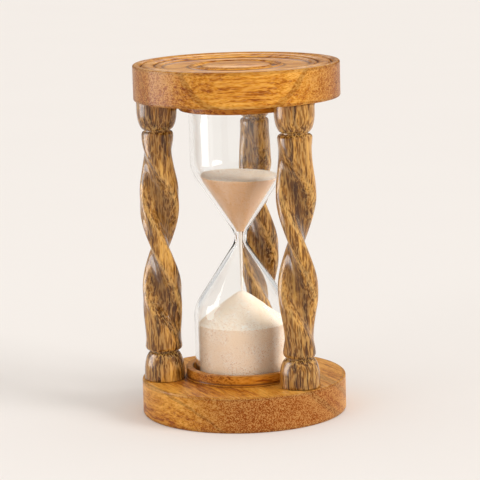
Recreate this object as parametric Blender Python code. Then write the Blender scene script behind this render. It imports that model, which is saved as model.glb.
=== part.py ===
"""Hourglass: two turned wooden discs, three twisted columns and a loose double glass of sand.

Units are metres, +Z is up, and the origin is the centre of the underside, on the axis.
Both discs are one turning, and the base is that turning upside down, so the hourglass
stands on either end. The glass is free to turn on its cork pads, inside its collars.
"""

import math

import bmesh
import bpy

MM = 0.001

# Overall size
DISC_RADIUS = 89.0 * MM
DISC_THICKNESS = 30.6 * MM
TOTAL_HEIGHT = 305.0 * MM
GAP = 0.3 * MM

# Disc: edge rounding, and the turned outer face as (share of the radius, depth below the rim)
DISC_EDGE = 1.6 * MM
RIM_FLAT_SHARE = 0.950
FACE_TURNING = (
    (0.930, 1.2 * MM),
    (0.916, 2.8 * MM),
    (0.900, 0.9 * MM),
    (0.855, 0.2 * MM),
    (0.808, 0.9 * MM),
    (0.787, 2.6 * MM),
    (0.765, 1.4 * MM),
    (0.735, 1.7 * MM),
    (0.700, 3.2 * MM),
    (0.580, 3.9 * MM),
    (0.470, 3.3 * MM),
    (0.437, 1.9 * MM),
    (0.412, 3.4 * MM),
    (0.375, 5.4 * MM),
    (0.340, 3.6 * MM),
    (0.310, 2.0 * MM),
    (0.180, 0.9 * MM),
    (0.0, 0.6 * MM),
)
DISC_SIDES = 36

# Collars round the ends of the glass
COLLAR_INNER_RADIUS = 44.3 * MM
COLLAR_OUTER_RADIUS = 50.2 * MM
COLLAR_HEIGHT = 9.0 * MM
COLLAR_EDGE = 0.8 * MM
COLLAR_FOOT_RADIUS = 51.4 * MM
COLLAR_FOOT_HEIGHT = 0.6 * MM
COLLAR_SIDES = 24

# Columns. They are carved by hand, so each has its own place (bearing from +X, anticlockwise from
# above), turn, bar section and end radii. The bar's half width and thickness are at mid height.
COLUMN_CIRCLE_RADIUS = 69.5 * MM
COLUMNS = {
    "left": {
        "bearing": 187.0, "turn": 79.4, "pitch": 171.2 * MM,
        "half_width": 16.8 * MM, "half_thickness": 8.6 * MM, "squareness": 3.8,
        "top_radius": 13.9 * MM, "foot_radius": 16.4 * MM,
    },
    "right": {
        "bearing": 313.4, "turn": 96.0, "pitch": 174.5 * MM,
        "half_width": 17.4 * MM, "half_thickness": 8.4 * MM, "squareness": 2.8,
        "top_radius": 15.3 * MM, "foot_radius": 14.3 * MM,
    },
    "rear": {
        "bearing": 76.0, "turn": 126.0, "pitch": 172.0 * MM,
        "half_width": 17.2 * MM, "half_thickness": 8.5 * MM, "squareness": 3.2,
        "top_radius": 14.8 * MM, "foot_radius": 15.0 * MM,
    },
}
BLOCK_RADIUS = 17.5 * MM
BLOCK_HEIGHT = 24.4 * MM
BLOCK_STRAIGHT = 7.0 * MM
BLOCK_CHAMFER = 0.8 * MM
NECK_RADIUS = 11.4 * MM
NECK_HEIGHT = 1.2 * MM
BAR_END_ROUNDING = 4.0 * MM
FLUTE_RUN_OUT = 58.0 * MM
FLUTE_HOLLOW = 0.36
FLUTE_SHARE = 0.75
COLUMN_SIDES = 12
BAR_LEVELS = 22
BLOCK_LEVELS = 4

# Dowels that hold the columns to the discs
DOWEL_RADIUS = 5.0 * MM
DOWEL_LENGTH = 30.0 * MM
DOWEL_CHAMFER = 0.8 * MM

# Glass: a waist, a straight cone, a round shoulder, a cylinder and a flat end, mirrored
GLASS_RADIUS = 42.0 * MM
GLASS_WALL = 3.0 * MM
WAIST_RADIUS = 5.4 * MM
CONE_ANGLE = math.radians(33.4)
CONE_FOOT_RADIUS = 2.46 * MM
SHOULDER_RADIUS = 28.0 * MM
GLASS_END_ROUNDING = 5.0 * MM
PAD_RADIUS = 41.0 * MM
PAD_THICKNESS = 1.6 * MM
GLASS_SIDES = 28
WAIST_STEPS = 4
SHOULDER_STEPS = 4
END_STEPS = 3

# Fill hole in the top end of the glass, and its cork
FILL_HOLE_RADIUS = 6.5 * MM
CORK_RADIUS = 6.2 * MM
CORK_TIP_RADIUS = 5.6 * MM
CORK_LENGTH = 7.0 * MM
CORK_SIDES = 16

# Sand
UPPER_SAND_TIP = 6.0 * MM
UPPER_SAND_SURFACE = 208.7 * MM
UPPER_SAND_DIP = 2.0 * MM
LOWER_SAND_RIM = 78.0 * MM
LOWER_SAND_PEAK = 104.8 * MM
PEAK_ROUND_RADIUS = 6.0 * MM
PEAK_ROUND_DROP = 2.8 * MM
STREAM_TOP_RADIUS = 1.6 * MM
STREAM_FOOT_RADIUS = 1.1 * MM
STREAM_SIDES = 12

# Worked out from the sizes above
BASE_TOP = DISC_THICKNESS
TOP_UNDERSIDE = TOTAL_HEIGHT - DISC_THICKNESS
MID_HEIGHT = TOTAL_HEIGHT / 2
COLUMN_HALF = MID_HEIGHT - BASE_TOP - GAP
GLASS_HALF = MID_HEIGHT - BASE_TOP - PAD_THICKNESS - 2 * GAP
BORE_RADIUS = DOWEL_RADIUS + GAP
BORE_DEPTH = DOWEL_LENGTH / 2 + GAP


def clear_scene():
    for old in list(bpy.data.objects):
        bpy.data.objects.remove(old, do_unlink=True)


def make_material(name, color, roughness, alpha=1.0):
    material = bpy.data.materials.new(name)
    material.use_nodes = True
    shader = material.node_tree.nodes["Principled BSDF"]
    shader.inputs["Base Color"].default_value = (*color, 1.0)
    shader.inputs["Roughness"].default_value = roughness
    shader.inputs["Metallic"].default_value = 0.0
    shader.inputs["Alpha"].default_value = alpha
    material.diffuse_color = (*color, alpha)
    return material


def arc(centre, radius, start, end, steps):
    """Points on an arc in the (radius, height) plane, angles in degrees from the +radius side."""
    points = []
    for step in range(steps + 1):
        angle = math.radians(start + (end - start) * step / steps)
        points.append((centre[0] + radius * math.cos(angle), centre[1] + radius * math.sin(angle)))
    return points


def finish_mesh(name, bm, smooth_angle=35.0):
    bmesh.ops.remove_doubles(bm, verts=bm.verts, dist=1e-6)
    bmesh.ops.recalc_face_normals(bm, faces=bm.faces)
    mesh = bpy.data.meshes.new(name)
    bm.to_mesh(mesh)
    bm.free()
    mesh.shade_smooth()
    mesh.set_sharp_from_angle(angle=math.radians(smooth_angle))
    return mesh


def lathe(name, outline, sides, ring=False):
    """Turn an outline of (radius, height) points about Z. A ring's outline closes on itself."""
    bm = bmesh.new()
    verts = [bm.verts.new((radius, 0.0, height)) for radius, height in outline]
    pairs = list(zip(verts, verts[1:]))
    if ring:
        pairs.append((verts[-1], verts[0]))
    edges = [bm.edges.new(pair) for pair in pairs]
    bmesh.ops.spin(
        bm,
        geom=verts + edges,
        axis=(0.0, 0.0, 1.0),
        cent=(0.0, 0.0, 0.0),
        angle=math.tau,
        steps=sides,
        use_merge=True,
    )
    return finish_mesh(name, bm)


def skin(bm, rings):
    """Skin a stack of equal rings of points, and close its two ends."""
    loops = [[bm.verts.new(point) for point in ring] for ring in rings]
    for lower, upper in zip(loops, loops[1:]):
        for side in range(len(lower)):
            after = (side + 1) % len(lower)
            bm.faces.new((lower[side], lower[after], upper[after], upper[side]))
    bm.faces.new(list(reversed(loops[0])))
    bm.faces.new(loops[-1])


def loft(name, rings):
    bm = bmesh.new()
    skin(bm, rings)
    return finish_mesh(name, bm)


def round_ring(radius, height, turn=0.0):
    ring = []
    for side in range(COLUMN_SIDES):
        angle = turn + math.tau * side / COLUMN_SIDES
        ring.append((radius * math.cos(angle), radius * math.sin(angle), height))
    return ring


def place(name, mesh, material, location=(0.0, 0.0, 0.0), rotation=(0.0, 0.0, 0.0)):
    item = bpy.data.objects.new(name, mesh)
    bpy.context.scene.collection.objects.link(item)
    item.location = location
    item.rotation_euler = rotation
    if not mesh.materials:
        mesh.materials.append(None)
    item.material_slots[0].link = "OBJECT"
    item.material_slots[0].material = material
    return item


# ---------------------------------------------------------------- discs


def disc_outline():
    """Half section of a disc, from the centre of its plain inner face to the turned outer one."""
    rim = DISC_RADIUS - DISC_EDGE
    outline = [(0.0, 0.0)]
    outline += arc((rim, DISC_EDGE), DISC_EDGE, -90, 0, 2)
    outline += arc((rim, DISC_THICKNESS - DISC_EDGE), DISC_EDGE, 0, 90, 2)
    outline.append((RIM_FLAT_SHARE * DISC_RADIUS, DISC_THICKNESS))
    for share, depth in FACE_TURNING:
        outline.append((share * DISC_RADIUS, DISC_THICKNESS - depth))
    return outline


def column_place(column):
    bearing = math.radians(column["bearing"])
    return COLUMN_CIRCLE_RADIUS * math.cos(bearing), COLUMN_CIRCLE_RADIUS * math.sin(bearing)


def bore_cutter(name, face_height):
    """Three short rods at the column places, which cut a disc's blind dowel holes."""
    bm = bmesh.new()
    for column in COLUMNS.values():
        x, y = column_place(column)
        rings = []
        for height in (face_height - BORE_DEPTH, face_height + BORE_DEPTH):
            ring = round_ring(BORE_RADIUS, height, math.radians(column["turn"]))
            rings.append([(x + point[0], y + point[1], point[2]) for point in ring])
        skin(bm, rings)
    cutter = place(name, finish_mesh(name, bm), None)
    cutter.hide_render = True
    cutter.display_type = "WIRE"
    return cutter


def add_disc(name, mesh, material, height, rotation):
    disc = place(name, mesh, material, (0.0, 0.0, height), rotation)
    cut = disc.modifiers.new("Dowel holes", "BOOLEAN")
    cut.operation = "DIFFERENCE"
    cut.solver = "EXACT"
    cut.object = bore_cutter(f"{name}_hole_cutter", height)
    return disc


def add_discs():
    mesh = lathe("disc", disc_outline(), DISC_SIDES)
    top_wood = make_material("top_disc_wood", (0.55, 0.24, 0.06), 0.35)
    base_wood = make_material("base_disc_wood", (0.48, 0.17, 0.05), 0.35)
    add_disc("top_disc", mesh, top_wood, TOP_UNDERSIDE, (0.0, 0.0, 0.0))
    add_disc("base_disc", mesh, base_wood, BASE_TOP, (math.pi, 0.0, 0.0))


# ---------------------------------------------------------------- collars and pads


def collar_outline():
    """Section of a collar, standing on its glued face: a thin foot, a cove and a flat-topped wall."""
    cove = COLLAR_FOOT_RADIUS - COLLAR_OUTER_RADIUS
    shoulder = COLLAR_HEIGHT - COLLAR_EDGE
    outline = [(COLLAR_INNER_RADIUS, 0.0), (COLLAR_FOOT_RADIUS, 0.0)]
    outline += arc((COLLAR_FOOT_RADIUS, COLLAR_FOOT_HEIGHT + cove), cove, 270, 180, 2)
    outline += arc((COLLAR_OUTER_RADIUS - COLLAR_EDGE, shoulder), COLLAR_EDGE, 0, 90, 2)
    outline += arc((COLLAR_INNER_RADIUS + COLLAR_EDGE, shoulder), COLLAR_EDGE, 90, 180, 2)
    return outline


def add_collars():
    mesh = lathe("collar", collar_outline(), COLLAR_SIDES, ring=True)
    wood = make_material("collar_wood", (0.44, 0.20, 0.07), 0.4)
    place("base_collar", mesh, wood, (0.0, 0.0, BASE_TOP + GAP))
    place("top_collar", mesh, wood, (0.0, 0.0, TOP_UNDERSIDE - GAP), (math.pi, 0.0, 0.0))


def add_pads(cork):
    outline = [(0.0, 0.0), (PAD_RADIUS, 0.0), (PAD_RADIUS, PAD_THICKNESS), (0.0, PAD_THICKNESS)]
    mesh = lathe("pad", outline, GLASS_SIDES)
    place("base_pad", mesh, cork, (0.0, 0.0, BASE_TOP + GAP))
    place("top_pad", mesh, cork, (0.0, 0.0, TOP_UNDERSIDE - GAP - PAD_THICKNESS))


# ---------------------------------------------------------------- columns and dowels


def smoothstep(value):
    value = min(max(value, 0.0), 1.0)
    return value * value * (3.0 - 2.0 * value)


def soften(value, squareness):
    """A sine or cosine bent from a circle's (squareness 2) towards a square's."""
    return math.copysign(abs(value) ** (2.0 / squareness), value)


def bar_ring(column, height, end_distance):
    """Section of the twisted bar: round at its ends, and between them a bar with hollow faces."""
    run = smoothstep(end_distance / FLUTE_RUN_OUT)
    end_radius = column["top_radius"] if height > 0 else column["foot_radius"]
    half_width = end_radius + (column["half_width"] - end_radius) * run
    half_thickness = end_radius + (column["half_thickness"] - end_radius) * run
    squareness = 2.0 + (column["squareness"] - 2.0) * run
    inset = min(end_distance / BAR_END_ROUNDING, 1.0)
    neck_share = NECK_RADIUS / end_radius
    scale = neck_share + (1.0 - neck_share) * math.sqrt(1.0 - (1.0 - inset) ** 2)
    twist = -math.tau * height / column["pitch"]
    ring = []
    for side in range(COLUMN_SIDES):
        angle = math.tau * side / COLUMN_SIDES
        share = soften(math.cos(angle), squareness)
        hollow = FLUTE_HOLLOW * run * max(1.0 - (share / FLUTE_SHARE) ** 2, 0.0) ** 2
        across = scale * half_width * share
        through = scale * half_thickness * soften(math.sin(angle), squareness) * (1.0 - hollow)
        x = across * math.cos(twist) - through * math.sin(twist)
        y = across * math.sin(twist) + through * math.cos(twist)
        ring.append((x, y, height))
    return ring


def block_rings():
    """Rings of the lower end block, from the bottom of its dowel bore up to the neck."""
    foot = -COLUMN_HALF
    rings = [round_ring(BORE_RADIUS, foot + BORE_DEPTH), round_ring(BORE_RADIUS, foot)]
    rings.append(round_ring(BLOCK_RADIUS - BLOCK_CHAMFER, foot))
    rings.append(round_ring(BLOCK_RADIUS, foot + BLOCK_CHAMFER))
    rings.append(round_ring(BLOCK_RADIUS, foot + BLOCK_STRAIGHT))
    dome = BLOCK_HEIGHT - BLOCK_STRAIGHT
    for level in range(1, BLOCK_LEVELS + 1):
        angle = 0.5 * math.pi * level / BLOCK_LEVELS
        radius = NECK_RADIUS + (BLOCK_RADIUS - NECK_RADIUS) * math.cos(angle)
        rings.append(round_ring(radius, foot + BLOCK_STRAIGHT + dome * math.sin(angle)))
    return rings


def bar_rings(column, half):
    """Rings of the twisted bar. The levels crowd towards its rounded ends."""
    heights = []
    for level in range(BAR_LEVELS + 1):
        share = 2.0 * level / BAR_LEVELS - 1.0
        heights.append(half * (1.5 * share - 0.5 * share**3))
    return [bar_ring(column, height, half - abs(height)) for height in heights]


def column_rings(column):
    """Rings of a whole column. Each block's points are numbered on from where the bar's twist ends."""
    half = COLUMN_HALF - BLOCK_HEIGHT - NECK_HEIGHT
    shift = round(COLUMN_SIDES * half / column["pitch"])
    block = block_rings()
    lower = [ring[shift:] + ring[:shift] for ring in block]
    upper = []
    for ring in reversed(block):
        upper.append([(x, y, -z) for x, y, z in ring[-shift:] + ring[:-shift]])
    return lower + bar_rings(column, half) + upper


def dowel_rings():
    half = DOWEL_LENGTH / 2 - GAP
    rings = [round_ring(DOWEL_RADIUS - DOWEL_CHAMFER, -half)]
    rings.append(round_ring(DOWEL_RADIUS, DOWEL_CHAMFER - half))
    rings.append(round_ring(DOWEL_RADIUS, half - DOWEL_CHAMFER))
    rings.append(round_ring(DOWEL_RADIUS - DOWEL_CHAMFER, half))
    return rings


def add_columns():
    dowel_mesh = loft("dowel", dowel_rings())
    wood = make_material("column_wood", (0.30, 0.17, 0.07), 0.38)
    dowel_wood = make_material("dowel_wood", (0.62, 0.48, 0.30), 0.6)
    for side, column in COLUMNS.items():
        x, y = column_place(column)
        turn = (0.0, 0.0, math.radians(column["turn"]))
        mesh = loft(f"{side}_column", column_rings(column))
        place(f"{side}_column", mesh, wood, (x, y, MID_HEIGHT), turn)
        place(f"{side}_base_dowel", dowel_mesh, dowel_wood, (x, y, BASE_TOP), turn)
        place(f"{side}_top_dowel", dowel_mesh, dowel_wood, (x, y, TOP_UNDERSIDE), turn)


# ---------------------------------------------------------------- glass and sand


def bulb_outline(inset, end_rounding):
    """Half outline of one bulb from the waist to its flat end, as (radius, distance from waist).

    The glass's own surface has inset 0; its inner surface and the sand lie inside it.
    """
    lean = math.tan(CONE_ANGLE)
    drop = (WAIST_RADIUS - CONE_FOOT_RADIUS) / (lean * math.sin(CONE_ANGLE) - 1.0 + math.cos(CONE_ANGLE))
    waist = drop + inset
    outline = []
    for step in range(WAIST_STEPS + 1):
        angle = CONE_ANGLE * step / WAIST_STEPS
        radius = WAIST_RADIUS + drop - waist * math.cos(angle)
        outline.append((radius, waist * math.sin(angle)))
    shoulder_rise = SHOULDER_RADIUS * (1.0 - math.cos(CONE_ANGLE))
    cone_end = (GLASS_RADIUS - shoulder_rise - CONE_FOOT_RADIUS) / lean
    shoulder_centre = cone_end + SHOULDER_RADIUS * math.sin(CONE_ANGLE)
    shoulder = SHOULDER_RADIUS - inset
    for step in range(SHOULDER_STEPS + 1):
        angle = CONE_ANGLE * (1.0 - step / SHOULDER_STEPS)
        radius = GLASS_RADIUS - inset - shoulder * (1.0 - math.cos(angle))
        outline.append((radius, shoulder_centre - shoulder * math.sin(angle)))
    corner = (GLASS_RADIUS - inset - end_rounding, GLASS_HALF - inset - end_rounding)
    outline += arc(corner, end_rounding, 0, 90, END_STEPS)
    return outline


def glass_outline():
    """Section of the wall: up the outside, over the fill hole's edge and back down the inside."""
    outer = bulb_outline(0.0, GLASS_END_ROUNDING)
    inner = bulb_outline(GLASS_WALL, GLASS_END_ROUNDING - GLASS_WALL)
    outline = [(0.0, -GLASS_HALF)]
    outline += [(radius, -height) for radius, height in reversed(outer)]
    outline += outer[1:]
    outline.append((FILL_HOLE_RADIUS, GLASS_HALF))
    outline.append((FILL_HOLE_RADIUS, GLASS_HALF - GLASS_WALL))
    outline += list(reversed(inner))
    outline += [(radius, -height) for radius, height in inner[1:]]
    outline.append((0.0, GLASS_WALL - GLASS_HALF))
    return outline


def sand_radius(inside, height):
    for (radius_a, height_a), (radius_b, height_b) in zip(inside, inside[1:]):
        if height_a <= height < height_b:
            return radius_a + (radius_b - radius_a) * (height - height_a) / (height_b - height_a)
    return inside[-1][0]


def upper_sand_wall(start, end):
    """The sand's side, just inside the glass, between two distances from the waist."""
    inside = bulb_outline(GLASS_WALL + GAP, GLASS_END_ROUNDING - GLASS_WALL)
    points = [(sand_radius(inside, start), start)]
    points += [point for point in inside if start < point[1] < end]
    points.append((sand_radius(inside, end), end))
    return points


def upper_sand_outline():
    surface = UPPER_SAND_SURFACE - MID_HEIGHT
    outline = [(0.0, UPPER_SAND_TIP)]
    outline += upper_sand_wall(UPPER_SAND_TIP, surface)
    outline.append((0.0, surface - UPPER_SAND_DIP))
    return outline


def lower_sand_outline():
    floor = GLASS_HALF - GLASS_WALL - GAP
    corner = GLASS_END_ROUNDING - GLASS_WALL
    rim = MID_HEIGHT - LOWER_SAND_RIM
    peak = MID_HEIGHT - LOWER_SAND_PEAK
    wall = GLASS_RADIUS - GLASS_WALL - GAP
    outline = [(0.0, -floor)]
    outline += arc((wall - corner, corner - floor), corner, -90, 0, 2)
    outline.append((wall, -rim))
    outline.append((PEAK_ROUND_RADIUS, -peak - PEAK_ROUND_DROP))
    outline.append((0.0, -peak))
    return outline


def add_glass(cork):
    glass = make_material("clear_glass", (0.92, 0.95, 0.94), 0.03, alpha=0.3)
    place("glass_bulb", lathe("glass_bulb", glass_outline(), GLASS_SIDES), glass, (0.0, 0.0, MID_HEIGHT))
    outline = [(0.0, -CORK_LENGTH), (CORK_TIP_RADIUS, -CORK_LENGTH), (CORK_RADIUS, 0.0), (0.0, 0.0)]
    top = (0.0, 0.0, MID_HEIGHT + GLASS_HALF)
    place("fill_hole_cork", lathe("cork", outline, CORK_SIDES), cork, top)


def add_sand():
    sand = make_material("sand", (0.80, 0.66, 0.52), 0.9)
    middle = (0.0, 0.0, MID_HEIGHT)
    place("upper_sand", lathe("upper_sand", upper_sand_outline(), GLASS_SIDES), sand, middle)
    place("lower_sand", lathe("lower_sand", lower_sand_outline(), GLASS_SIDES), sand, middle)
    top = MID_HEIGHT + UPPER_SAND_TIP - GAP
    length = top - LOWER_SAND_PEAK - GAP
    outline = [(0.0, -length), (STREAM_FOOT_RADIUS, -length), (STREAM_TOP_RADIUS, 0.0), (0.0, 0.0)]
    place("sand_stream", lathe("stream", outline, STREAM_SIDES), sand, (0.0, 0.0, top))


def main():
    clear_scene()
    cork = make_material("cork", (0.55, 0.36, 0.20), 0.8)
    add_discs()
    add_collars()
    add_pads(cork)
    add_columns()
    add_glass(cork)
    add_sand()


main()
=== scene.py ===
"""Hourglass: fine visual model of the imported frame, with a plain studio set and the camera."""

import math

import bmesh
import bpy
import numpy as np
from mathutils import Matrix, Vector, noise


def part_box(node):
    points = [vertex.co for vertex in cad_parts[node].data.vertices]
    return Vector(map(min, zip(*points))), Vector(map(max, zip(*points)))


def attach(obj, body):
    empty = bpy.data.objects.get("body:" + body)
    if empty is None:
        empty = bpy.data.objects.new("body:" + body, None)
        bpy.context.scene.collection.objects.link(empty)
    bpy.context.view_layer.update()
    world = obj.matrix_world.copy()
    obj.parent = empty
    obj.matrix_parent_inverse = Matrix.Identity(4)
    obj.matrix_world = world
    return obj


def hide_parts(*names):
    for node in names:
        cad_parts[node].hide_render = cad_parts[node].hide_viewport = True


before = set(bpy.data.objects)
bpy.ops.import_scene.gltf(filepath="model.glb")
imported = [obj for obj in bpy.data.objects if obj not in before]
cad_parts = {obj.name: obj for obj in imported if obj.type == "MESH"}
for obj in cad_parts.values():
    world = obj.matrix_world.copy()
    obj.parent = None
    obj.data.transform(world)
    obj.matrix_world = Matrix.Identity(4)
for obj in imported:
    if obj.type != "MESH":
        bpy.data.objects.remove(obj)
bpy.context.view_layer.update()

MM = 0.001
X, Y, Z = 0, 1, 2


def lowest(node, axis):
    """Where a CAD node begins along an axis, in millimetres."""
    return round(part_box(node)[0][axis] / MM, 3)


def highest(node, axis):
    """Where a CAD node ends along an axis, in millimetres."""
    return round(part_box(node)[1][axis] / MM, 3)


# Sizes in millimetres. The outer sizes come from the frame, and the others are details of the shapes.
TOTAL_HEIGHT = highest("top_disc", Z)
MID_HEIGHT = TOTAL_HEIGHT / 2
GAP = 0.3

DISC_RADIUS = highest("base_disc", X)
DISC_THICKNESS = highest("base_disc", Z)
BASE_TOP = DISC_THICKNESS
TOP_UNDERSIDE = lowest("top_disc", Z)
DISC_EDGE = 1.6
RIM_FLAT_SHARE = 0.950
# The rings turned into a disc's outer face, from the rim to the centre: share of the radius, and depth
FACE_TURNING = (
    (0.930, 1.2), (0.916, 2.8), (0.900, 0.9), (0.855, 0.2), (0.808, 0.9), (0.787, 2.6),
    (0.765, 1.4), (0.735, 1.7), (0.700, 3.2), (0.580, 3.9), (0.470, 3.3), (0.437, 1.9),
    (0.412, 3.4), (0.375, 5.4), (0.340, 3.6), (0.310, 2.0), (0.180, 0.9), (0.0, 0.6),
)

COLLAR_FOOT_RADIUS = highest("base_collar", X)
COLLAR_HEIGHT = highest("base_collar", Z) - lowest("base_collar", Z)
COLLAR_INNER_RADIUS = 44.3
COLLAR_OUTER_RADIUS = 50.2
COLLAR_FOOT_HEIGHT = 0.6
COLLAR_EDGE = 0.8

# Each column is carved by hand: its turn and twist, its bar's section, and the bar's two ends
COLUMNS = {
    "left": {
        "turn": 79.4, "pitch": 171.2,
        "half_width": 16.8, "half_thickness": 8.6, "squareness": 3.8,
        "top_radius": 13.9, "foot_radius": 16.4,
    },
    "right": {
        "turn": 96.0, "pitch": 174.5,
        "half_width": 17.4, "half_thickness": 8.4, "squareness": 2.8,
        "top_radius": 15.3, "foot_radius": 14.3,
    },
    "rear": {
        "turn": 126.0, "pitch": 172.0,
        "half_width": 17.2, "half_thickness": 8.5, "squareness": 3.2,
        "top_radius": 14.8, "foot_radius": 15.0,
    },
}
COLUMN_HALF = (highest("left_column", Z) - lowest("left_column", Z)) / 2
BLOCK_RADIUS = 17.5
BLOCK_HEIGHT = 24.4
BLOCK_STRAIGHT = 7.0
BLOCK_CHAMFER = 0.8
NECK_RADIUS = 11.4
NECK_HEIGHT = 1.2
BAR_HALF = COLUMN_HALF - BLOCK_HEIGHT - NECK_HEIGHT
BAR_END_ROUNDING = 4.0
FLUTE_RUN_OUT = 58.0
FLUTE_HOLLOW = 0.36
FLUTE_SHARE = 0.75
BORE_RADIUS = 5.3
BORE_DEPTH = 15.3
CARVING_UNEVENNESS = 0.15

GLASS_RADIUS = highest("glass_bulb", X)
GLASS_HALF = (highest("glass_bulb", Z) - lowest("glass_bulb", Z)) / 2
GLASS_WALL = 3.0
GLASS_END_ROUNDING = 5.0
WAIST_RADIUS = 5.4
CONE_ANGLE = math.radians(33.4)
CONE_FOOT_RADIUS = 2.46
SHOULDER_RADIUS = 28.0
FILL_HOLE_RADIUS = 6.5

UPPER_SAND_TIP = lowest("upper_sand", Z) - MID_HEIGHT
UPPER_SAND_LEVEL = highest("upper_sand", Z) - 1.5
UPPER_SAND_DISH = 1.6
LOWER_SAND_PEAK = highest("lower_sand", Z)
LOWER_SAND_RIM = 78.0
HEAP_ROUNDNESS = 0.12
STREAM_TOP_RADIUS = highest("sand_stream", X)
STREAM_FOOT_RADIUS = 1.1

# How finely the visual pieces are made, and how far they stay inside the CAD box
TURNED_SIDES = 224
COLUMN_SIDES = 128
SKIN = 0.05


# ---------------------------------------------------------------- shapes


def arc(centre, radius, start, end, steps):
    """Points on an arc in the (radius, height) plane, angles in degrees from the +radius side."""
    points = []
    for step in range(steps + 1):
        angle = math.radians(start + (end - start) * step / steps)
        points.append((centre[0] + radius * math.cos(angle), centre[1] + radius * math.sin(angle)))
    return points


def smooth_line(points, steps):
    """A Catmull-Rom curve through the points."""
    given = np.array([points[0], *points, points[-1]], float)
    made = []
    for a, b, c, d in zip(given, given[1:], given[2:], given[3:]):
        for step in range(steps):
            t = step / steps
            made.append(0.5 * (2 * b + (c - a) * t + (2 * a - 5 * b + 4 * c - d) * t**2
                               + (3 * b - 3 * c + d - a) * t**3))
    made.append(given[-1])
    return [tuple(point) for point in made]


def grid_mesh(name, rows, wrap=False, cap=False, sharp=32.0, relief=None):
    """A mesh through rows of points in millimetres. Rows close round; wrap joins the last to the first.

    relief has a number for each point: above 0 in a groove, below 0 on an edge. The wood finish
    reads it to paint shade into the grooves and light or shade onto the edges.
    """
    rows = np.asarray(rows, float) * MM
    count, around = rows.shape[:2]
    verts = rows.reshape(-1, 3)
    here = np.arange(around)
    after = (here + 1) % around
    faces = []
    for row in range(count if wrap else count - 1):
        lower = row * around
        upper = ((row + 1) % count) * around
        faces.extend(np.stack([lower + here, lower + after, upper + after, upper + here], 1).tolist())
    if cap:
        faces.append(here[::-1].tolist())
        faces.append(((count - 1) * around + here).tolist())
    mesh = bpy.data.meshes.new(name)
    mesh.from_pydata(verts.tolist(), [], faces)
    if relief is not None:
        values = mesh.attributes.new("relief", "FLOAT", "POINT")
        values.data.foreach_set("value", np.asarray(relief, np.float32).ravel())
    bm = bmesh.new()
    bm.from_mesh(mesh)
    bmesh.ops.remove_doubles(bm, verts=bm.verts, dist=1e-7)
    bmesh.ops.recalc_face_normals(bm, faces=bm.faces)
    bm.to_mesh(mesh)
    bm.free()
    mesh.shade_smooth()
    mesh.set_sharp_from_angle(angle=math.radians(sharp))
    return mesh


def refined(outline, longest):
    """The same outline with its long segments divided."""
    made = [outline[0]]
    for start, end in zip(outline, outline[1:]):
        parts = max(1, math.ceil(math.dist(start, end) / longest))
        for part in range(1, parts + 1):
            share = part / parts
            made.append((start[0] + (end[0] - start[0]) * share, start[1] + (end[1] - start[1]) * share))
    return made


def outline_relief(outline, reach, wrap):
    """How far each point of an outline lies under (above 0) or over (below 0) its near surroundings."""
    points = np.array(outline, float)
    after = np.roll(points, -1, axis=0)
    turning = np.sum(points[:, 0] * after[:, 1] - after[:, 0] * points[:, 1])
    if wrap:
        points = np.concatenate([points, points, points])
    length = np.concatenate([[0.0], np.cumsum(np.hypot(*np.diff(points, axis=0).T))])

    def at(shift):
        return np.stack([np.interp(length + shift, length, points[:, axis]) for axis in (0, 1)], 1)

    mean = sum(at(shift) for shift in np.linspace(-reach, reach, 13)) / 13
    way = at(0.3) - at(-0.3)
    outward = np.stack([way[:, 1], -way[:, 0]], 1) / np.maximum(np.hypot(*way.T), 1e-6)[:, None]
    relief = np.sum((mean - points) * outward, axis=1) * math.copysign(1.0, turning)
    return relief[len(outline):2 * len(outline)] if wrap else relief


def lathe_mesh(name, outline, sides=TURNED_SIDES, wrap=False, relief_reach=0.0):
    """A turned piece. A relief reach, in millimetres, also marks its grooves and edges."""
    if relief_reach:
        outline = refined(outline, 2.0)
    rows = []
    angles = np.linspace(0.0, math.tau, sides, endpoint=False)
    for radius, height in outline:
        rows.append(np.stack([radius * np.cos(angles), radius * np.sin(angles),
                              np.full(sides, height)], 1))
    relief = None
    if relief_reach:
        relief = np.repeat(outline_relief(outline, relief_reach, wrap)[:, None], sides, 1)
    return grid_mesh(name, rows, wrap, relief=relief)


def add_piece(name, mesh, material, body, node):
    """A visible piece that rides on a body and stands for a CAD node."""
    piece = bpy.data.objects.new(name, mesh)
    bpy.context.scene.collection.objects.link(piece)
    mesh.materials.append(material)
    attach(piece, body)
    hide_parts(node)


def disc_outline():
    """Half section of a disc, from the centre of its plain inner face to the turned outer one."""
    radius = DISC_RADIUS - SKIN
    rim = radius - DISC_EDGE
    outline = [(0.0, 0.0)]
    outline += arc((rim, DISC_EDGE), DISC_EDGE, -90, 0, 8)
    outline += arc((rim, DISC_THICKNESS - DISC_EDGE), DISC_EDGE, 0, 90, 8)
    face = [(RIM_FLAT_SHARE * DISC_RADIUS, DISC_THICKNESS)]
    for share, depth in FACE_TURNING:
        face.append((share * DISC_RADIUS, DISC_THICKNESS - depth))
    outline += smooth_line(face, 8)
    return outline


def collar_outline():
    """Section of a collar, standing on its glued face: a thin foot, a cove and a flat-topped wall."""
    cove = COLLAR_FOOT_RADIUS - COLLAR_OUTER_RADIUS
    shoulder = COLLAR_HEIGHT - COLLAR_EDGE
    outline = [(COLLAR_INNER_RADIUS, 0.0), (COLLAR_FOOT_RADIUS, 0.0)]
    outline += arc((COLLAR_FOOT_RADIUS, COLLAR_FOOT_HEIGHT + cove), cove, 270, 180, 6)
    outline += arc((COLLAR_OUTER_RADIUS - COLLAR_EDGE, shoulder), COLLAR_EDGE, 0, 90, 6)
    outline += arc((COLLAR_INNER_RADIUS + COLLAR_EDGE, shoulder), COLLAR_EDGE, 90, 180, 6)
    return outline


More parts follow.
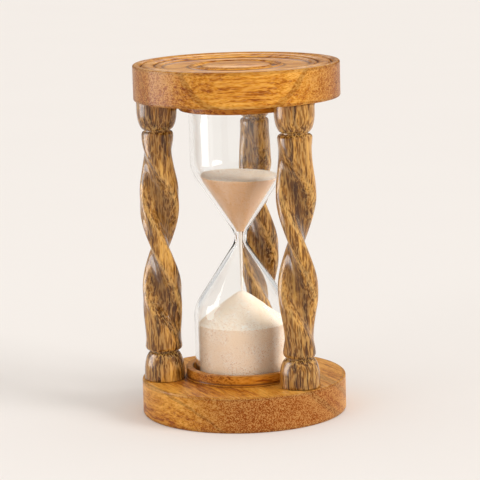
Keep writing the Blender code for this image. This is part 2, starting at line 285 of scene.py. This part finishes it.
def move(outline, height, flip=False):
    """Stand an outline at a height, or hang it upside down from there."""
    sign = -1.0 if flip else 1.0
    return [(radius, height + sign * level) for radius, level in outline]


def smoothstep(value):
    value = min(max(value, 0.0), 1.0)
    return value * value * (3.0 - 2.0 * value)


def bar_section(column, height, end_distance, angles):
    """The twisted bar's x, y, height and relief: round at its ends, with hollow faces between them."""
    run = smoothstep(end_distance / FLUTE_RUN_OUT)
    end_radius = column["top_radius"] if height > 0 else column["foot_radius"]
    half_width = end_radius + (column["half_width"] - end_radius) * run
    half_thickness = end_radius + (column["half_thickness"] - end_radius) * run
    power = 2.0 / (2.0 + (column["squareness"] - 2.0) * run)
    inset = min(end_distance / BAR_END_ROUNDING, 1.0)
    neck_share = NECK_RADIUS / end_radius
    scale = neck_share + (1.0 - neck_share) * math.sqrt(1.0 - (1.0 - inset) ** 2)
    share = np.sign(np.cos(angles)) * np.abs(np.cos(angles)) ** power
    depth = np.sign(np.sin(angles)) * np.abs(np.sin(angles)) ** power
    hollow = FLUTE_HOLLOW * run * np.maximum(1.0 - (share / FLUTE_SHARE) ** 2, 0.0) ** 2
    across = scale * half_width * share
    through = scale * half_thickness * depth * (1.0 - hollow)
    twist = -math.tau * height / column["pitch"]
    # These relief marks paint the finish: painted shade on the hollow faces, and the edge colour on the
    # arrises, partly wear and partly painted highlight
    corner = np.minimum(np.abs(share * depth) / np.max(share * depth), 1.0)
    relief = run * (0.20 * np.maximum(1.0 - (share / 0.7) ** 2, 0.0) - 0.6 * corner**14)
    return (across * math.cos(twist) - through * math.sin(twist),
            across * math.sin(twist) + through * math.cos(twist), height, relief)


def block_profile():
    """The block at a column's foot as (radius, height): up the dowel's bore, out and over to the neck."""
    foot = -COLUMN_HALF
    dome = BLOCK_HEIGHT - BLOCK_STRAIGHT
    profile = [(BORE_RADIUS, foot + BORE_DEPTH), (BORE_RADIUS, foot)]
    profile += arc((BLOCK_RADIUS - BLOCK_CHAMFER, foot + BLOCK_CHAMFER), BLOCK_CHAMFER, -90, 0, 4)
    profile += [(BLOCK_RADIUS, foot + BLOCK_STRAIGHT * share) for share in (0.4, 0.7, 1.0)]
    for level in range(1, 17):
        angle = 0.5 * math.pi * level / 16
        radius = NECK_RADIUS + (BLOCK_RADIUS - NECK_RADIUS) * math.cos(angle)
        profile.append((radius, foot + BLOCK_STRAIGHT + dome * math.sin(angle)))
    return profile


def column_rows(column):
    """Rings of x, y, height and relief about a column's own axis, from one dowel bore to the other."""
    angles = np.linspace(0.0, math.tau, COLUMN_SIDES, endpoint=False)
    end_twist = math.tau * BAR_HALF / column["pitch"]
    lower, upper = [], []
    for radius, height in block_profile():
        # The neck is marked as an edge, so it takes the pale edge colour: partly wear, partly a painted
        # highlight in its cove
        in_neck = radius < NECK_RADIUS + 0.5 and height > BLOCK_STRAIGHT - COLUMN_HALF
        relief = -0.4 if in_neck else 0.0
        for rings, side in ((lower, 1.0), (upper, -1.0)):
            turned = angles + side * end_twist
            rings.append((radius * np.cos(turned), radius * np.sin(turned), side * height, relief))
    straight = BAR_HALF - BAR_END_ROUNDING
    curve = [BAR_HALF - BAR_END_ROUNDING * (1.0 - math.cos(0.5 * math.pi * k / 8)) for k in range(8)]
    levels = [-level for level in curve] + list(np.linspace(-straight, straight, 260)) + curve[::-1]
    middle = [bar_section(column, height, BAR_HALF - abs(height), angles) for height in levels]
    rows = []
    for x, y, z, relief in lower + middle + upper[::-1]:
        rows.append(np.stack([x, y, np.full(COLUMN_SIDES, z), np.full(COLUMN_SIDES, relief)], 1))
    return np.array(rows)


def column_axis(side):
    """Where a column's axis stands, from the dowel in its foot."""
    dowel = f"{side}_base_dowel"
    return [(lowest(dowel, axis) + highest(dowel, axis)) / 2 for axis in (X, Y)]


def column_mesh(name, side, seed):
    column = COLUMNS[side]
    rows = column_rows(column)
    turn = math.radians(column["turn"])
    x = rows[:, :, 0] * math.cos(turn) - rows[:, :, 1] * math.sin(turn)
    y = rows[:, :, 0] * math.sin(turn) + rows[:, :, 1] * math.cos(turn)
    radius = np.hypot(x, y)
    for row in range(rows.shape[0]):
        height = rows[row, 0, 2]
        if abs(height) > COLUMN_HALF - 1.0:
            continue
        for point in range(COLUMN_SIDES):
            if radius[row, point] < BORE_RADIUS + 0.5:
                continue
            at = Vector((x[row, point], y[row, point], height * 0.5)) * 0.06
            lump = CARVING_UNEVENNESS * (noise.noise(at + Vector((seed, 0.0, 0.0))) - 1.0)
            x[row, point] *= 1.0 + lump / radius[row, point]
            y[row, point] *= 1.0 + lump / radius[row, point]
    axis_x, axis_y = column_axis(side)
    placed = np.stack([x + axis_x, y + axis_y, rows[:, :, 2] + MID_HEIGHT], 2)
    return grid_mesh(name, placed, cap=True, relief=rows[:, :, 3])


def bulb_outline(inset, end_rounding):
    """Half outline of one bulb from the waist to its flat end, as (radius, distance from waist)."""
    lean = math.tan(CONE_ANGLE)
    drop = (WAIST_RADIUS - CONE_FOOT_RADIUS) / (lean * math.sin(CONE_ANGLE) - 1.0 + math.cos(CONE_ANGLE))
    waist = drop + inset
    outline = []
    for step in range(17):
        angle = CONE_ANGLE * step / 16
        outline.append((WAIST_RADIUS + drop - waist * math.cos(angle), waist * math.sin(angle)))
    shoulder_rise = SHOULDER_RADIUS * (1.0 - math.cos(CONE_ANGLE))
    cone_end = (GLASS_RADIUS - shoulder_rise - CONE_FOOT_RADIUS) / lean
    shoulder_centre = cone_end + SHOULDER_RADIUS * math.sin(CONE_ANGLE)
    shoulder = SHOULDER_RADIUS - inset
    start = outline[-1]
    end = (GLASS_RADIUS - inset - shoulder * (1.0 - math.cos(CONE_ANGLE)),
           shoulder_centre - shoulder * math.sin(CONE_ANGLE))
    for step in range(1, 12):
        share = step / 12
        outline.append((start[0] + (end[0] - start[0]) * share, start[1] + (end[1] - start[1]) * share))
    for step in range(25):
        angle = CONE_ANGLE * (1.0 - step / 24)
        radius = GLASS_RADIUS - inset - shoulder * (1.0 - math.cos(angle))
        outline.append((radius, shoulder_centre - shoulder * math.sin(angle)))
    corner = (GLASS_RADIUS - inset - end_rounding, GLASS_HALF - inset - end_rounding)
    outline.append((GLASS_RADIUS - inset, 0.5 * (shoulder_centre + corner[1])))
    outline += arc(corner, end_rounding, 0, 90, 8)
    return outline


def glass_outline():
    """Section of the wall: up the outside, over the fill hole's edge and back down the inside."""
    outer = bulb_outline(0.0, GLASS_END_ROUNDING)
    inner = bulb_outline(GLASS_WALL, GLASS_END_ROUNDING - GLASS_WALL)
    outline = [(0.0, -GLASS_HALF)]
    outline += [(radius, -height) for radius, height in reversed(outer)]
    outline += outer[1:]
    outline.append((FILL_HOLE_RADIUS, GLASS_HALF))
    outline.append((FILL_HOLE_RADIUS, GLASS_HALF - GLASS_WALL))
    outline += list(reversed(inner))
    outline += [(radius, -height) for radius, height in inner[1:]]
    outline.append((0.0, GLASS_WALL - GLASS_HALF))
    return outline


def inner_radius(inside, height):
    radii = [point[0] for point in inside]
    heights = [point[1] for point in inside]
    return float(np.interp(height, heights, radii))


def sand_mesh(name, wall, top_height):
    """Sand inside a wall outline of (radius, height), with its surface height given by (x, y)."""
    angles = np.linspace(0.0, math.tau, TURNED_SIDES, endpoint=False)
    around = np.stack([np.cos(angles), np.sin(angles)], 1)
    rows = [np.column_stack([radius * around, np.full(TURNED_SIDES, height)]) for radius, height in wall]
    rim_radius = wall[-1][0]
    for share in np.linspace(1.0, 0.0, 48):
        flat = rim_radius * around * share
        rows.append(np.column_stack([flat, [top_height(x, y) for x, y in flat]]))
    return grid_mesh(name, rows, sharp=50.0)


def upper_surface(x, y):
    """Slightly tilted and dished, with the fine unevenness of poured grains."""
    radius = math.hypot(x, y) / 36.0
    tilt = -0.028 * x + 0.006 * y
    dish = -UPPER_SAND_DISH * (1.0 - radius**2)
    rough = 0.25 * noise.noise(Vector((x * 0.12, y * 0.12, 3.0)))
    rough += 0.10 * noise.noise(Vector((x * 0.7, y * 0.7, 8.0)))
    return UPPER_SAND_LEVEL + tilt + dish + rough


def lower_surface(x, y):
    """The heap: a round peak and slopes that steepen a little towards the glass."""
    run = math.hypot(x, y) / (GLASS_RADIUS - GLASS_WALL - GAP)
    fall = math.hypot(run, HEAP_ROUNDNESS) - HEAP_ROUNDNESS
    fall /= math.hypot(1.0, HEAP_ROUNDNESS) - HEAP_ROUNDNESS
    cone = (LOWER_SAND_PEAK - GAP - LOWER_SAND_RIM) * (1.0 - fall)
    rough = 0.3 * noise.noise(Vector((x * 0.1, y * 0.1, 1.0)))
    rough += 0.12 * noise.noise(Vector((x * 0.6, y * 0.6, 5.0)))
    return LOWER_SAND_RIM + cone + rough * (1.0 - 0.5 * run)


def upper_sand_wall():
    inside = bulb_outline(GLASS_WALL + GAP, GLASS_END_ROUNDING - GLASS_WALL)
    wall = [(0.0, MID_HEIGHT + UPPER_SAND_TIP)]
    top = UPPER_SAND_LEVEL - 1.5 - MID_HEIGHT
    for height in np.linspace(UPPER_SAND_TIP, top, 60):
        wall.append((inner_radius(inside, height), MID_HEIGHT + height))
    return wall


def lower_sand_wall():
    floor = MID_HEIGHT - GLASS_HALF + GLASS_WALL + GAP
    corner = GLASS_END_ROUNDING - GLASS_WALL
    wall = GLASS_RADIUS - GLASS_WALL - GAP
    outline = [(0.0, floor)]
    outline += arc((wall - corner, floor + corner), corner, -90, 0, 6)
    outline.append((wall, LOWER_SAND_RIM - 1.5))
    return outline


# ---------------------------------------------------------------- materials


class Tree:
    """The node tree of a material or a world, with a short way to add and link nodes."""

    def __init__(self, owner):
        owner.use_nodes = True
        self.owner = owner
        self.nodes = owner.node_tree.nodes
        self.links = owner.node_tree.links

    def set(self, node, values):
        """Give inputs a value, or link them to a socket."""
        for key, value in values.items():
            socket = node.inputs[key]
            if isinstance(value, bpy.types.NodeSocket):
                self.links.new(value, socket)
            else:
                socket.default_value = value

    def shade(self, values):
        """Set the Principled shader's inputs."""
        self.set(self.nodes["Principled BSDF"], values)

    def add(self, kind, values=None, **settings):
        node = self.nodes.new("ShaderNode" + kind)
        for key, value in settings.items():
            setattr(node, key, value)
        self.set(node, values or {})
        return node

    def math(self, operation, a, b=0.0):
        return self.add("Math", {0: a, 1: b}, operation=operation).outputs[0]

    def dot(self, vector, way):
        node = self.add("VectorMath", {0: vector, 1: tuple(way)}, operation="DOT_PRODUCT")
        return node.outputs["Value"]

    def noise(self, vector, scale, detail=3.0, roughness=0.5):
        node = self.add("TexNoise", {"Vector": vector, "Scale": scale, "Detail": detail,
                                     "Roughness": roughness})
        return node.outputs[0]

    def line_noise(self, value, scale, detail=2.0, roughness=0.5):
        node = self.add("TexNoise", {"W": value, "Scale": scale, "Detail": detail,
                                     "Roughness": roughness}, noise_dimensions="1D")
        return node.outputs[0]

    def cells(self, vector, scale):
        """Each point's distance from its cell's centre, and a random number for each cell."""
        node = self.add("TexVoronoi", {"Vector": vector, "Scale": scale})
        number = self.add("SeparateColor", {0: node.outputs["Color"]}).outputs[0]
        return node.outputs["Distance"], number

    def window(self, value, low, high):
        """0 at low and 1 at high, smooth between and level beyond them."""
        node = self.add("MapRange", {0: value, 1: low, 2: high}, interpolation_type="SMOOTHSTEP")
        return node.outputs[0]

    def ramp(self, value, *stops):
        node = self.add("ValToRGB", {0: value})
        elements = node.color_ramp.elements
        while len(elements) < len(stops):
            elements.new(0.5)
        for element, (position, color) in zip(elements, stops):
            element.position = position
            element.color = (*color, 1.0)
        return node.outputs[0]

    def mix(self, share, a, b):
        """a where share is 0, b where it is 1. Each is a socket or a colour."""
        colors = {}
        for key, value in ((6, a), (7, b)):
            colors[key] = value if isinstance(value, bpy.types.NodeSocket) else (*value, 1.0)
        return self.add("Mix", {0: share, **colors}, data_type="RGBA").outputs[2]

    def bump(self, height, strength, depth):
        """A normal raised by up to depth millimetres."""
        node = self.add("Bump", {"Strength": strength, "Distance": depth * MM, "Height": height})
        return node.outputs[0]

    def millimetres(self, shift=(0.0, 0.0, 0.0)):
        """The object's own coordinates in millimetres, shifted."""
        where = self.add("TexCoord").outputs["Object"]
        scale = (1.0 / MM, 1.0 / MM, 1.0 / MM)
        return self.add("Mapping", {"Vector": where, "Location": shift, "Scale": scale}).outputs[0]

    def scaled(self, vector, scale):
        return self.add("VectorMath", {0: vector, 1: scale}, operation="MULTIPLY").outputs[0]

    def warped(self, vector, scale, amount):
        """Coordinates bent by a slow noise, by up to about half the amount each way."""
        node = self.add("TexNoise", {"Vector": vector, "Scale": scale, "Detail": 1.0})
        centred = self.add("VectorMath", {0: node.outputs[1], 1: (0.5, 0.5, 0.5)}, operation="SUBTRACT")
        sized = self.add("VectorMath", {0: centred.outputs[0], 3: amount}, operation="SCALE")
        return self.add("VectorMath", {0: vector, 1: sized.outputs[0]}, operation="ADD").outputs[0]


def linear(red, green, blue):
    """A colour given as 0 to 255 sRGB values, as the linear numbers that shaders use."""
    made = []
    for value in (red, green, blue):
        value /= 255.0
        made.append(value / 12.92 if value <= 0.04045 else ((value + 0.055) / 1.055) ** 2.4)
    return tuple(made)


CREAM = linear(242, 196, 118)
PALE = linear(232, 168, 78)
GOLDEN = linear(216, 148, 50)
HONEY = linear(194, 120, 28)
UMBER = linear(98, 50, 8)
AMBER = linear(144, 70, 10)
RUST = linear(140, 68, 14)
SAND_TAN = linear(238, 190, 112)
STRAW = linear(212, 156, 66)
OCHRE = linear(170, 114, 38)
OLIVE = linear(128, 80, 20)
BARK = linear(72, 38, 4)


def grain_coordinates(t, grain, tilt, shift):
    """Millimetres across the growth layers, along them and along the fibres."""
    at = t.millimetres(shift)
    upright = Vector((0.0, 0.0, 1.0)) if abs(grain.z) < 0.9 else Vector((1.0, 0.0, 0.0))
    side_way = upright.cross(grain).normalized()
    lean = math.radians(tilt)
    layer_way = side_way * math.cos(lean) + grain.cross(side_way) * math.sin(lean)
    ways = (layer_way, grain.cross(layer_way), grain)
    return t.add("CombineXYZ", {index: t.dot(at, way) for index, way in enumerate(ways)}).outputs[0]


def wood(name, grain, tilt, shift, tones, dark, pale, band, stretch, speckle, fineness,
         end_tone=0.5, bend=10.0, line=0.4, coat=0.2, edge=None):
    """Lacquered open-pored hardwood, cut from a log whose growth layers are nearly flat.

    grain is the way the fibres run and tilt how far the layers lean about it. tones go from deep to
    pale, band is how thick the layers are and bend how far they wander, in millimetres. stretch is
    how long the streaks are for their width, and line how dark the thin lines between layers are.
    dark colours the pores and pale the flecks between them. speckle is how bold both are, and
    fineness how far apart they are, in millimetres. end_tone is how much deeper the end grain is,
    coat how thick the lacquer is, and edge the colour of the edges: partly wear and partly a painted
    highlight. Where it isn't given, the edges take the dark colour, partly wear and partly painted shade.
    """
    t = Tree(bpy.data.materials.new(name))
    grain = Vector(grain).normalized()
    local = grain_coordinates(t, grain, tilt, shift)
    bent = t.warped(t.scaled(local, (1.0, 1.0, 0.4)), 0.018, bend)
    bent = t.warped(bent, 0.09, 0.28 * bend)
    rippled = t.warped(bent, 0.35, 2.0)
    layer = t.add("SeparateXYZ", {0: bent}).outputs[0]

    # Layers, patches and streaks, in tones from deep to pale
    bands = t.line_noise(layer, 1.0 / band, 3.0, 0.6)
    patches = t.noise(t.scaled(bent, (1.0, 1.0, 0.6)), 0.03, 2.0)
    tone = t.math("ADD", t.math("MULTIPLY", bands, 0.5), t.math("MULTIPLY", patches, 0.5))
    streaks = t.noise(t.scaled(rippled, (1.0, 1.0, 1.6 / stretch)), 0.35, 2.0, 0.6)
    tone = t.math("ADD", t.math("MULTIPLY", tone, 0.6), t.math("MULTIPLY", streaks, 0.4))
    places = np.linspace(0.40, 0.60, len(tones))
    color = t.ramp(tone, *zip(places.tolist(), tones))

    # Deeper end grain, thin dark lines between layers, and edges: wear with painted light or shade
    end_share = t.dot(t.add("TexCoord").outputs["Normal"], grain)
    end_grain = t.window(t.math("ABSOLUTE", end_share), 0.35, 0.95)
    color = t.mix(t.math("MULTIPLY", end_grain, end_tone), color, tones[0])
    thin = t.window(t.line_noise(layer, 1.7 / band), 0.65, 0.69)
    color = t.mix(t.math("MULTIPLY", thin, line), color, dark)
    relief = t.add("Attribute", attribute_name="relief").outputs["Fac"]
    # Painted light on the edges: pale edges are partly wear and partly a painted highlight, dark edges
    # partly wear and partly painted shade
    edge_wear_and_painted_light = t.math("MULTIPLY", t.window(relief, -0.15, -0.5), 0.35)
    color = t.mix(edge_wear_and_painted_light, color, edge or dark)

    # Pores of many sizes, closest together in the deep tones, with pale flecks between them
    distance, size = t.cells(t.scaled(rippled, (1.0, 1.0, 2.5 / stretch)), 1.0 / fineness)
    away = t.math("ADD", distance, t.math("MULTIPLY", size, 0.25))
    away = t.math("ADD", away, t.math("MULTIPLY", t.math("SUBTRACT", tone, 0.5), 0.8))
    pores = t.window(away, 0.52, 0.32)
    flecks = t.window(away, 0.56, 0.76)
    bold = t.math("MULTIPLY", t.math("ADD", t.math("MULTIPLY", end_grain, 0.6), 0.8), speckle)
    color = t.mix(t.math("MULTIPLY", flecks, t.math("MULTIPLY", bold, 0.6)), color, pale)
    color = t.mix(t.math("MULTIPLY", pores, bold), color, dark)

    # Painted shade: the grooves and hollows are darkened towards the pore colour
    color = t.mix(t.math("MULTIPLY", t.window(relief, 0.0, 0.35), 0.85), color, dark)
    t.shade({"Base Color": color, "Roughness": 0.35, "Specular IOR Level": 0.06,
             "Normal": t.bump(t.math("SUBTRACT", 1.0, pores), 0.6, 0.12),
             "Coat Weight": coat, "Coat Roughness": 0.16, "Coat IOR": 1.42})
    return t.owner


def sand(name, side_shade_amount):
    """Fine dry sand. The second argument is how much painted orange shade its sides take."""
    t = Tree(bpy.data.materials.new(name))
    at = t.millimetres()
    distance, shade = t.cells(at, 1.6)
    color = t.ramp(shade, (0.0, linear(214, 170, 126)), (0.12, linear(248, 228, 202)),
                   (0.7, linear(255, 243, 226)), (1.0, linear(255, 252, 244)))
    specks = t.window(t.noise(at, 0.9, 1.0), 0.66, 0.72)
    color = t.mix(t.math("MULTIPLY", specks, 0.5), color, linear(150, 104, 66))
    color = t.mix(t.window(t.noise(at, 0.06, 2.0), 0.35, 0.75), color, linear(252, 232, 206))
    upward = t.add("SeparateXYZ", {0: t.add("NewGeometry").outputs["Normal"]}).outputs[2]
    # Painted shade: faces that turn away from up are darkened towards orange
    painted_side_shade = t.math("MULTIPLY", t.window(upward, 0.4, -0.2), side_shade_amount)
    color = t.mix(painted_side_shade, color, linear(248, 174, 98))
    t.shade({"Base Color": color, "Roughness": 0.85, "Specular IOR Level": 0.25,
             "Normal": t.bump(t.math("SUBTRACT", 1.0, distance), 0.6, 0.25)})
    return t.owner


def stream(name):
    """Falling sand, blurred along its fall."""
    t = Tree(bpy.data.materials.new(name))
    grains = t.noise(t.scaled(t.millimetres(), (1.0, 1.0, 0.35)), 1.6, 2.0)
    color = t.ramp(grains, (0.3, linear(242, 226, 208)), (0.7, linear(255, 250, 243)))
    t.shade({"Base Color": color, "Roughness": 0.9, "Specular IOR Level": 0.2})
    return t.owner


def cork(name):
    t = Tree(bpy.data.materials.new(name))
    distance, shade = t.cells(t.millimetres(), 0.5)
    color = t.ramp(shade, (0.0, linear(120, 76, 44)), (0.3, linear(184, 136, 88)),
                   (1.0, linear(206, 164, 116)))
    t.shade({"Base Color": color, "Roughness": 0.85, "Normal": t.bump(distance, 0.5, 0.2)})
    return t.owner


def bare_wood(name):
    t = Tree(bpy.data.materials.new(name))
    grain = t.noise(t.scaled(t.millimetres(), (1.0, 1.0, 0.05)), 0.9)
    color = t.ramp(grain, (0.35, linear(176, 136, 92)), (0.65, linear(214, 182, 138)))
    t.shade({"Base Color": color, "Roughness": 0.7})
    return t.owner


def clear_glass(name):
    """Blown glass with a faint ripple. It casts no shadow of its own, so light reaches the sand."""
    t = Tree(bpy.data.materials.new(name))
    ripple = t.noise(t.scaled(t.millimetres(), (1.0, 1.0, 0.5)), 0.05, 1.0)
    t.shade({"Base Color": (0.985, 0.99, 0.988, 1.0), "Roughness": 0.0, "IOR": 1.38,
             "Transmission Weight": 1.0, "Normal": t.bump(ripple, 0.12, 0.5)})
    clear = t.add("BsdfTransparent", {"Color": (1.0, 1.0, 1.0, 1.0)})
    for_shadow = t.add("LightPath").outputs["Is Shadow Ray"]
    glass = t.nodes["Principled BSDF"].outputs[0]
    join = t.add("MixShader", {0: for_shadow, 1: glass, 2: clear.outputs[0]})
    t.set(t.nodes["Material Output"], {"Surface": join.outputs[0]})
    return t.owner


def pale_floor(name):
    t = Tree(bpy.data.materials.new(name))
    tone = t.noise(t.millimetres(), 0.004, 1.0)
    color = t.ramp(tone, (0.0, (0.85, 0.82, 0.795)), (1.0, (0.86, 0.83, 0.805)))
    t.shade({"Base Color": color, "Roughness": 0.6, "Specular IOR Level": 0.0})
    return t.owner


# ---------------------------------------------------------------- pieces


def level_grain(bearing):
    """The way of level fibres, from their bearing in degrees."""
    return (math.cos(math.radians(bearing)), math.sin(math.radians(bearing)), 0.0)


def add_discs():
    tones = (HONEY, GOLDEN, PALE)
    # No edge colour is given, so the discs' rounded edges take the dark colour: partly wear, partly
    # painted shade
    top = wood("top_disc_wood", level_grain(5.0), -23.0, (40.0, 30.0, 0.0), (RUST, *tones), UMBER, CREAM,
               band=22.0, stretch=7.0, speckle=0.34, fineness=1.05, end_tone=0.8, line=0.35)
    base = wood("base_disc_wood", level_grain(-65.0), 49.0, (240.0, -70.0, 0.0), (AMBER, *tones), UMBER,
                CREAM, band=20.0, stretch=7.0, speckle=0.36, fineness=0.95, end_tone=1.0)
    outline = disc_outline()
    upper = lathe_mesh("turned_top_disc", move(outline, TOP_UNDERSIDE), relief_reach=3.5)
    lower = lathe_mesh("turned_base_disc", move(outline, BASE_TOP, flip=True), relief_reach=3.5)
    add_piece("turned_top_disc", upper, top, "frame", "top_disc")
    add_piece("turned_base_disc", lower, base, "frame", "base_disc")


def add_collars():
    ring = wood("collar_wood", (0.94, 0.34, 0.0), 20.0, (90.0, 10.0, 0.0), (AMBER, HONEY, HONEY, GOLDEN),
                UMBER, PALE, band=14.0, stretch=6.0, speckle=0.5, fineness=1.3)
    outline = collar_outline()
    low = move(outline, BASE_TOP + GAP)
    high = move(outline, TOP_UNDERSIDE - GAP, flip=True)
    for node, placed in (("base_collar", low), ("top_collar", high)):
        name = f"turned_{node}"
        mesh = lathe_mesh(name, placed, wrap=True, relief_reach=2.0)
        add_piece(name, mesh, ring, "frame", node)


def add_columns():
    grains = {
        "left": ((0.02, 0.01, 1.0), 20.0, (12.0, 5.0, 40.0)),
        "right": ((-0.04, 0.03, 1.0), 75.0, (-33.0, 18.0, 200.0)),
        "rear": ((0.03, -0.02, 1.0), -30.0, (70.0, -24.0, 90.0)),
    }
    for number, side in enumerate(COLUMNS):
        # The pale edge colour on the arrises and necks is partly wear and partly a painted highlight
        material = wood(f"{side}_column_wood", *grains[side], (BARK, OLIVE, OCHRE, STRAW), BARK, SAND_TAN,
                        band=12.0, stretch=9.0, speckle=0.66, fineness=1.25, bend=5.0, line=0.3,
                        coat=1.0, edge=SAND_TAN)
        name = f"turned_{side}_column"
        mesh = column_mesh(name, side, seed=10.0 * number)
        add_piece(name, mesh, material, "frame", f"{side}_column")


def add_glass():
    mesh = lathe_mesh("blown_glass", move(glass_outline(), MID_HEIGHT), 192)
    add_piece("blown_glass", mesh, clear_glass("clear_glass"), "glass", "glass_bulb")


def add_sand():
    upper = sand_mesh("upper_heap", upper_sand_wall(), upper_surface)
    lower = sand_mesh("lower_heap", lower_sand_wall(), lower_surface)
    add_piece("upper_heap", upper, sand("upper_sand", 0.58), "glass", "upper_sand")
    add_piece("lower_heap", lower, sand("lower_sand", 0.27), "glass", "lower_sand")


def add_stream():
    foot = lowest("sand_stream", Z)
    top = highest("sand_stream", Z)
    outline = [(0.0, foot)]
    for share in np.linspace(0.0, 1.0, 60):
        radius = STREAM_FOOT_RADIUS + (STREAM_TOP_RADIUS - STREAM_FOOT_RADIUS) * share - 0.1
        radius += 0.12 * noise.noise(Vector((share * 24.0, 0.0, 0.0)))
        outline.append((radius, foot + (top - foot) * share))
    outline.append((0.0, top))
    mesh = lathe_mesh("falling_sand", outline, 24)
    add_piece("falling_sand", mesh, stream("falling_sand"), "glass", "sand_stream")


def dress_hidden_parts():
    """Cork and bare wood for the CAD nodes that show as they are."""
    cork_look = cork("cork")
    dowel_look = bare_wood("dowel_wood")
    for name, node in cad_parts.items():
        if name.endswith(("_pad", "_cork")):
            node.material_slots[0].material = cork_look
        elif name.endswith("_dowel"):
            node.material_slots[0].material = dowel_look


# ---------------------------------------------------------------- set, light and camera

# The camera, in metres and degrees: from the front, a little above and leaning slightly
CAMERA_LENS = 175.57
CAMERA_DISTANCE = 2.0312
CAMERA_ELEVATION = 10.11
CAMERA_ROLL = -1.5
CAMERA_TARGET = Vector((-0.0005, 0.0, 0.1499))


def add_floor():
    bpy.ops.mesh.primitive_circle_add(vertices=96, radius=14.0, fill_type="NGON")
    floor = bpy.context.object
    floor.name = "floor"
    floor.data.materials.append(pale_floor("pale_floor"))


def add_softbox(name, location, target, size, radiance, seen_by):
    """An area light out of the camera's sight. seen_by names the one kind of ray that meets it."""
    width, height = size
    light = bpy.data.lights.new(name, "AREA")
    light.shape = "RECTANGLE"
    light.size = width
    light.size_y = height
    light.energy = radiance * math.pi * width * height
    lamp = bpy.data.objects.new(name, light)
    lamp.location = location
    lamp.rotation_euler = (Vector(target) - Vector(location)).to_track_quat("-Z", "Y").to_euler()
    lamp.visible_camera = False
    lamp.visible_diffuse = seen_by == "diffuse"
    lamp.visible_glossy = seen_by == "glossy"
    lamp.visible_transmission = seen_by == "transmission"
    bpy.context.scene.collection.objects.link(lamp)


def add_world():
    """Soft light from above, the sides and the front. The low sky behind the hourglass is dim."""
    t = Tree(bpy.data.worlds.new("soft_world"))
    way = t.add("SeparateXYZ", {0: t.add("TexCoord").outputs["Generated"]})
    behind = t.window(way.outputs["Y"], 0.60, 0.90)
    low = t.window(way.outputs["Z"], 0.48, 0.28)
    color = t.mix(t.math("MULTIPLY", behind, low), (1.0, 0.965, 0.925), (0.14, 0.13, 0.12))
    t.set(t.nodes["Background"], {"Color": color, "Strength": 0.86})
    bpy.context.scene.world = t.owner


def add_key():
    """A wide sun from the right, low enough to reach under the top disc."""
    light = bpy.data.lights.new("soft_key", "SUN")
    light.energy = 1.55
    light.angle = math.radians(30.0)
    lamp = bpy.data.objects.new("soft_key", light)
    bearing, elevation = math.radians(332.0), math.radians(27.0)
    towards = Vector((math.cos(bearing), math.sin(bearing), math.tan(elevation)))
    lamp.rotation_euler = towards.to_track_quat("Z", "Y").to_euler()
    lamp.visible_glossy = False
    bpy.context.scene.collection.objects.link(lamp)


def add_lights():
    add_key()
    middle = (0.0, 0.0, 0.14)
    add_softbox("left_glint", (-0.90, 0.0, 0.36), middle, (0.6, 0.9), 7.0, "glossy")
    add_softbox("fill_softbox", (-1.3, -1.5, 1.2), middle, (0.8, 0.8), 2.0, "diffuse")
    add_softbox("left_strip", (-0.40, -0.20, 0.17), middle, (0.08, 0.32), 1.5, "glossy")
    add_softbox("back_softbox", (0.0, 2.0, 1.15), middle, (1.1, 0.46), 2.5, "glossy")
    add_softbox("back_glow", (0.0, 3.4, 1.3), (0.0, 0.0, 0.8), (5.0, 3.0), 0.55, "transmission")


def add_camera():
    data = bpy.data.cameras.new("camera")
    data.sensor_width = 36.0
    data.lens = CAMERA_LENS
    camera = bpy.data.objects.new("camera", data)
    bpy.context.scene.collection.objects.link(camera)
    elevation = math.radians(CAMERA_ELEVATION)
    way = Vector((0.0, -math.cos(elevation), math.sin(elevation)))
    camera.location = CAMERA_TARGET + CAMERA_DISTANCE * way
    aim = way.to_track_quat("Z", "Y").to_matrix()
    camera.rotation_euler = (aim @ Matrix.Rotation(math.radians(CAMERA_ROLL), 3, "Z")).to_euler()
    bpy.context.scene.camera = camera


def main():
    bpy.context.scene.view_settings.view_transform = "Standard"
    add_discs()
    add_collars()
    add_columns()
    add_glass()
    add_sand()
    add_stream()
    dress_hidden_parts()
    add_floor()
    add_world()
    add_lights()
    add_camera()


main()
